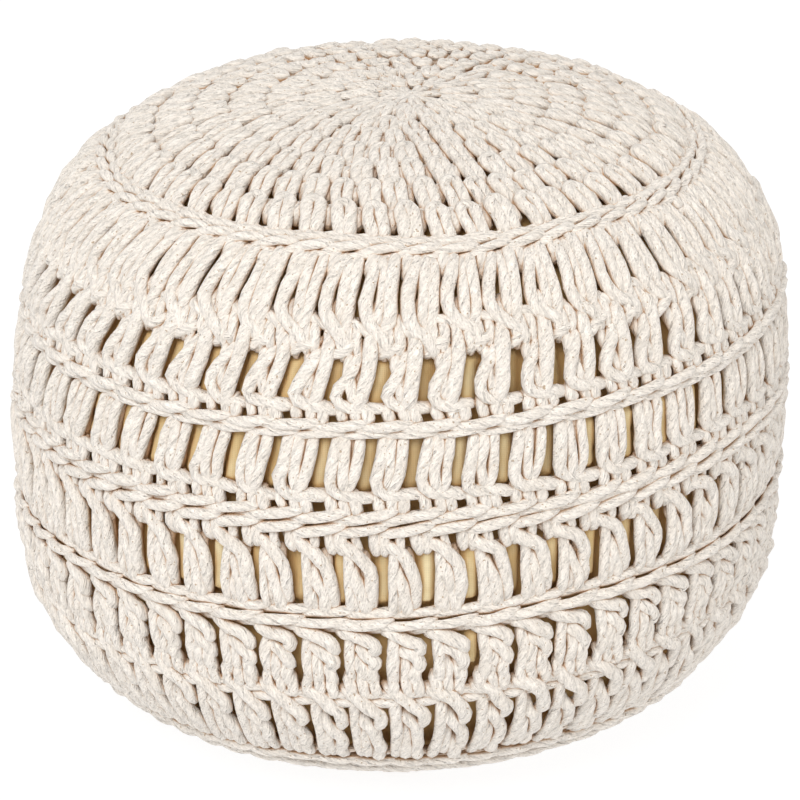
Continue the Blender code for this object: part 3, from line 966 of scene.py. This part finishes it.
feet = [cord for number, place_row in enumerate(FEET) for cord in feet_cords(number, *place_row)]
make_piece("ridge_feet", feet, CORD)

# %% [markdown]
# ## The base
# Nobody sees the base until the pouf is turned over. It is worked in plain rounds like the crown,
# with fewer stitches in each round, and it lies flat on the floor.

# %% Base rounds
BASE_STARTS = 0.6180
BASE_ROUNDS = 7
BASE_CHAIN = (0.0030, 0.0012, -0.0060, -0.0090)  # half width, rise, crest, dip


def base_cords():
    """Plain rounds from the bottom ridge to the middle of the base."""
    pitch = (DOWN[-1] - BASE_STARTS) / BASE_ROUNDS
    cords = []
    for number in range(BASE_ROUNDS):
        count = min(STITCHES_ADDED * (BASE_ROUNDS - number), STITCHES_BELOW)
        first = BASE_STARTS + number * pitch
        phase = SHIFT_EACH_ROUND * number
        cords += round_stitches(count, first, pitch, phase, number + 100, steps=(12, 5), sides=7)
        cords.append(chain_line(count, first, phase, number + 120, *BASE_CHAIN, steps=6, sides=6))
    return cords


make_piece("base_rounds", base_cords(), CORD)

# %% [markdown]
# ## The filled casing
# The casing is a stuffed round bag of woven cloth. It presses against the crochet from inside and
# shows in the gaps. It is made the way filled cloth behaves: a slightly smaller copy of its solid is
# blown up by a cloth simulation, and no point may travel further than the cover allows. The small
# swellings in the gaps are finer than the simulation's faces, so they are pushed out afterwards.

# %% A copy of the casing's solid
CASING_SHRINK = 0.0025
CASING_VOXEL = 0.0072
MERGE_DISTANCE = 0.00001


def casing_copy():
    """A merged copy of the casing's solid, a little smaller all round."""
    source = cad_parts["filled_casing"]
    casing = bpy.data.objects.new("casing", source.data.copy())
    bpy.context.scene.collection.objects.link(casing)
    bpy.ops.object.select_all(action="DESELECT")
    bpy.context.view_layer.objects.active = casing
    casing.select_set(True)
    bpy.ops.object.mode_set(mode="EDIT")
    bpy.ops.mesh.select_all(action="SELECT")
    bpy.ops.mesh.remove_doubles(threshold=MERGE_DISTANCE)
    bpy.ops.transform.shrink_fatten(value=-CASING_SHRINK)
    bpy.ops.object.mode_set(mode="OBJECT")
    remesh = casing.modifiers.new("even faces", "REMESH")
    remesh.mode = "VOXEL"
    remesh.voxel_size = CASING_VOXEL
    bpy.ops.object.modifier_apply(modifier=remesh.name)
    return casing


casing = casing_copy()
print("casing has", len(casing.data.polygons), "faces before filling")

# %% Fill the casing
CASING_PRESSURE = 4.0
CASING_TRAVEL = 0.0030
CLOTH_FRAMES = 20


def mesh_points(mesh):
    """The mesh's points as an array."""
    points = np.empty(len(mesh.vertices) * 3, np.float32)
    mesh.vertices.foreach_get("co", points)
    return points.reshape(-1, 3)


def fill_casing(casing):
    """Blows the casing up with a cloth simulation and limits how far each point travels."""
    before = mesh_points(casing.data)
    cloth = casing.modifiers.new("filling", "CLOTH")
    cloth.settings.use_pressure = True
    cloth.settings.uniform_pressure_force = CASING_PRESSURE
    cloth.settings.effector_weights.gravity = 0.0
    scene = bpy.context.scene
    cloth.point_cache.frame_start = 1
    cloth.point_cache.frame_end = CLOTH_FRAMES
    for number in range(1, CLOTH_FRAMES + 1):
        scene.frame_set(number)
    evaluated = casing.evaluated_get(bpy.context.evaluated_depsgraph_get())
    after = mesh_points(evaluated.data)
    casing.modifiers.remove(cloth)
    scene.frame_set(1)
    travel = after - before
    length = np.linalg.norm(travel, axis=1, keepdims=True)
    travel *= np.minimum(1, CASING_TRAVEL / np.maximum(length, TINY))
    casing.data.vertices.foreach_set("co", (before + travel).astype(np.float32).ravel())
    casing.data.update()
    print("casing points travel up to", round(float(length.max()) * 1000, 2), "mm before the limit")


fill_casing(casing)

# %% Find the gaps from inside
CASING_DEPTH = 0.0131
OUTLINE_STEP = 0.001
GAP_SWELL_REACH = 0.0040
SWELL_SHARE = {"upper": 0.70, "middle": 0.85, "lower": 0.75, "belly": 0.25}
SWELL_UNEVENNESS = 0.25
SWELL_FULLNESS = 1.6
SWELL_OVERRUN = 1.2
SWELL_END = 0.3


def down_and_turn(points):
    """How far down and how far round each point of the casing lies."""
    straight_x = points[:, 0] - LEAN * (points[:, 2] - LEAN_PIVOT_Z)
    angle = np.arctan2(straight_x, -points[:, 1])
    reach = np.hypot(straight_x, points[:, 1])
    samples = np.arange(0.0, DOWN[-1], OUTLINE_STEP)
    outline = place(0.0, samples, -CASING_DEPTH)
    apart = (reach[:, None] + outline[:, 1]) ** 2 + (points[:, 2:3] - outline[:, 2]) ** 2
    down = samples[apart.argmin(axis=1)]
    return down + row_climb(down, angle), angle / (2 * math.pi)


def gap_swell(row, down, turn):
    """0 to 1: how far inside a gap of this row a point lies."""
    share = (down - row.top) / (row.bottom - row.top)
    stitch = turn * row.stitches + (2 * share - 1) * gap_slant(row, turn) / 2 - row.phase
    gap = np.round(stitch)
    known = gap % row.stitches
    wide = np.isin(known, list(WIDE_GAPS.get(row.name, {})))
    room = SWELL_SHARE[row.name] * (1 + SWELL_UNEVENNESS * uneven(known, row.number, 9))
    offset = np.abs(stitch - gap) * stitch_width(row)
    across = smooth_step(0.0, 1.0, SWELL_FULLNESS * (1 - offset / (row.gap / 2 + GAP_SWELL_REACH)))
    along = smooth_step(0.0, SWELL_END, 1.0 - np.abs(2 * share - 1) / SWELL_OVERRUN)
    return across * along * np.where(wide, 1.0, room)


# %% Let the casing swell into the gaps
GAP_BULGE = 0.0085


def swell_into_gaps(casing):
    """Pushes the cloth out a little wherever the crochet leaves it room."""
    points = mesh_points(casing.data).astype(float)
    down, turn = down_and_turn(points)
    swell = np.minimum(sum(gap_swell(row, down, turn) for row in GAP_ROWS if row.name in SWELL_SHARE), 1)
    points += unit(points * (1, 1, 0)) * (GAP_BULGE * swell)[:, None]
    casing.data.vertices.foreach_set("co", points.astype(np.float32).ravel())
    add_values(casing.data, "in_gap", "FLOAT", "value", swell)
    casing.data.update()
    print("points swelled into gaps:", int((swell > 0.1).sum()))


casing.modifiers.clear()
rounding = casing.modifiers.new("rounding", "SUBSURF")
rounding.levels = 1
rounding.render_levels = 1
bpy.ops.object.modifier_apply(modifier=rounding.name)
swell_into_gaps(casing)

casing.data.materials.clear()
casing.data.materials.append(CASING)
bpy.ops.object.shade_smooth()
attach(casing, "root")
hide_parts("filled_casing")
print("casing has", len(casing.data.polygons), "faces")

# %% [markdown]
# ## Floor and light
# The pouf stands on a pale floor in a white room. A large soft lamp stands high in front, a little
# to the left, and a weak, slightly warm one on the right. The floor is stage, not part of the pouf.

# %% Floor
FLOOR_SIZE = 12.0
FLOOR_ROUGHNESS = 0.8
FLOOR_COLOUR = (0.15, 0.15, 0.15, 1)
FLOOR_GLOW_COLOUR = (1, 1, 1, 1)
FLOOR_GLOW = 0.88

bpy.ops.object.select_all(action="DESELECT")
bpy.ops.mesh.primitive_plane_add(size=FLOOR_SIZE, location=(0, 0, 0))
floor = bpy.context.object
floor.name = "floor"
floor_paint, floor_shader = new_material("floor paint", FLOOR_ROUGHNESS)
floor_shader.inputs["Base Color"].default_value = FLOOR_COLOUR
floor_shader.inputs["Emission Color"].default_value = FLOOR_GLOW_COLOUR
floor_shader.inputs["Emission Strength"].default_value = FLOOR_GLOW
floor.data.materials.append(floor_paint)
print("floor", FLOOR_SIZE, "m square")

# %% Lamps and sky
LAMPS = (  # name, place, size, power, colour
    ("key", (-0.8, -2.3, 2.65), 1.6, 56.0, (1.0, 0.99, 0.975)),
    ("fill", (2.2, -1.6, 1.2), 1.6, 6.0, (1.0, 0.92, 0.82)),
)
SKY_COLOUR = (1.0, 0.995, 0.985, 1)
SKY_STRENGTH = 0.78


def aim(lamp, target):
    """Turns a lamp to face a point."""
    direction = target - np.array(lamp.location)
    flat = math.hypot(direction[0], direction[1])
    lamp.rotation_euler = (math.pi / 2 + math.atan2(direction[2], flat), 0,
                           math.atan2(direction[1], direction[0]) - math.pi / 2)


for name, spot, size, power, colour in LAMPS:
    bpy.ops.object.light_add(type="AREA", location=spot)
    lamp = bpy.context.object
    lamp.name = name
    lamp.data.shape = "SQUARE"
    lamp.data.size = size
    lamp.data.energy = power
    lamp.data.color = colour
    aim(lamp, np.array([0.0, 0.0, HEIGHT / 2]))

world = bpy.data.worlds.new("white room")
bpy.context.scene.world = world
world.use_nodes = True
sky = world.node_tree.nodes["Background"]
sky.inputs["Color"].default_value = SKY_COLOUR
sky.inputs["Strength"].default_value = SKY_STRENGTH
bpy.context.scene.view_settings.view_transform = "Standard"
print("lamps", [lamp[0] for lamp in LAMPS])
